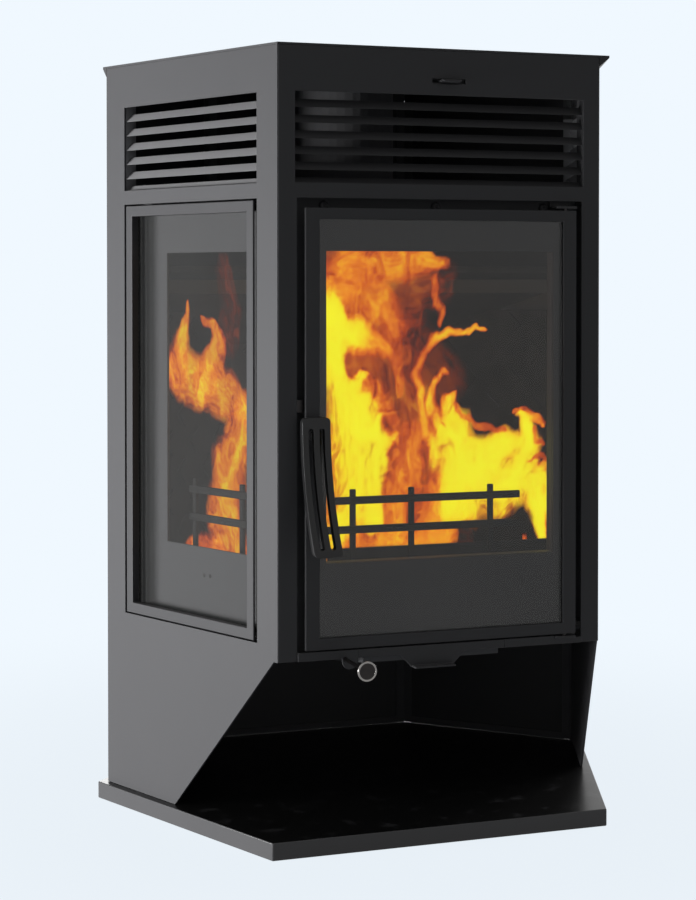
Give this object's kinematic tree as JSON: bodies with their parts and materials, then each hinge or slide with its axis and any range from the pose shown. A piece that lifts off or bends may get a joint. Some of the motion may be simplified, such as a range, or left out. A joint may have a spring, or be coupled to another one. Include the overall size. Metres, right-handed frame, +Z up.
{
  "type": "corner wood stove",
  "caption": "Tall corner wood stove on a six-sided plan, with a hinged glass door, side windows, louvres, ash drawer and sliding air controls.",
  "frame": {"origin": "on the floor under the middle of the whole stove's box", "axes": "+Z up, the door faces -Y, +X to the right of someone facing the door"},
  "size_m": [0.7694, 0.667, 1.0753],
  "materials": {
    "casing_paint": "satin anthracite stove paint",
    "firebox_paint": "matt heat-proof paint",
    "frame_paint": "satin black stove paint",
    "cast_iron": "as cast, sooted",
    "clear_glass": "clear ceramic glass",
    "rope_seal": "woven glass rope",
    "bare_steel": "machined, darkened by heat"
  },
  "bodies": {
    "stove_body": {"base_plate": "casing_paint", "front_panel": "casing_paint", "left_side_panel": "casing_paint", "right_side_panel": "casing_paint", "left_rear_panel": "casing_paint", "right_rear_panel": "casing_paint", "back_panel": "casing_paint", "top_cap": "casing_paint", "front_louvre": "casing_paint", "left_side_louvre": "casing_paint", "right_side_louvre": "casing_paint", "firebox_floor": "firebox_paint", "firebox_front": "firebox_paint", "left_firebox_side": "firebox_paint", "right_firebox_side": "firebox_paint", "firebox_back": "firebox_paint", "firebox_roof": "firebox_paint", "flue_duct": "firebox_paint", "baffle_support": "firebox_paint", "left_drawer_runner": "firebox_paint", "right_drawer_runner": "firebox_paint", "lever_guide": "firebox_paint", "left_window_frame": "frame_paint", "right_window_frame": "frame_paint", "upper_hinge_bracket": "frame_paint", "lower_hinge_bracket": "frame_paint", "front_sill": "frame_paint", "flue_collar": "cast_iron", "back_liner": "cast_iron", "left_rear_liner": "cast_iron", "right_rear_liner": "cast_iron", "baffle": "cast_iron", "grate": "cast_iron", "front_fence": "cast_iron", "left_side_fence": "cast_iron", "right_side_fence": "cast_iron", "left_window_glass": "clear_glass", "right_window_glass": "clear_glass", "left_window_gasket": "rope_seal", "right_window_gasket": "rope_seal", "upper_hinge_pin": "bare_steel", "lower_hinge_pin": "bare_steel", "latch_catch": "bare_steel"},
    "door": {"door_frame": "frame_paint", "door_glass": "clear_glass", "glass_retainer": "frame_paint", "door_gasket": "rope_seal"},
    "handle": {"door_handle": "frame_paint", "handle_shaft": "bare_steel", "latch_hook": "bare_steel"},
    "ash_drawer": {"ash_drawer_front": "frame_paint", "ash_drawer_tray": "firebox_paint"},
    "air_control": {"air_rod": "bare_steel", "air_knob": "bare_steel", "air_gate": "firebox_paint"},
    "air_lever_body": {"air_lever": "frame_paint"}
  },
  "joints": [
    {"name": "door_hinge", "type": "hinge", "parent": "stove_body", "child": "door", "pos_m": [0.17745, -0.24721, 0.55], "axis": [0, 0, 1], "range_deg": [0, 100]},
    {"name": "handle_turn", "type": "hinge", "parent": "door", "child": "handle", "pos_m": [-0.183, -0.2512, 0.545], "axis": [0, 1, 0], "range_deg": [0, 13.7]},
    {"name": "drawer_slide", "type": "slide", "parent": "stove_body", "child": "ash_drawer", "axis": [0, -1, 0], "range_m": [0, 0.2]},
    {"name": "air_rod_slide", "type": "slide", "parent": "stove_body", "child": "air_control", "axis": [0, -1, 0], "range_m": [-0.05, 0.01]},
    {"name": "air_lever_slide", "type": "slide", "parent": "stove_body", "child": "air_lever_body", "axis": [1, 0, 0], "range_m": [-0.008, 0.008]}
  ]
}
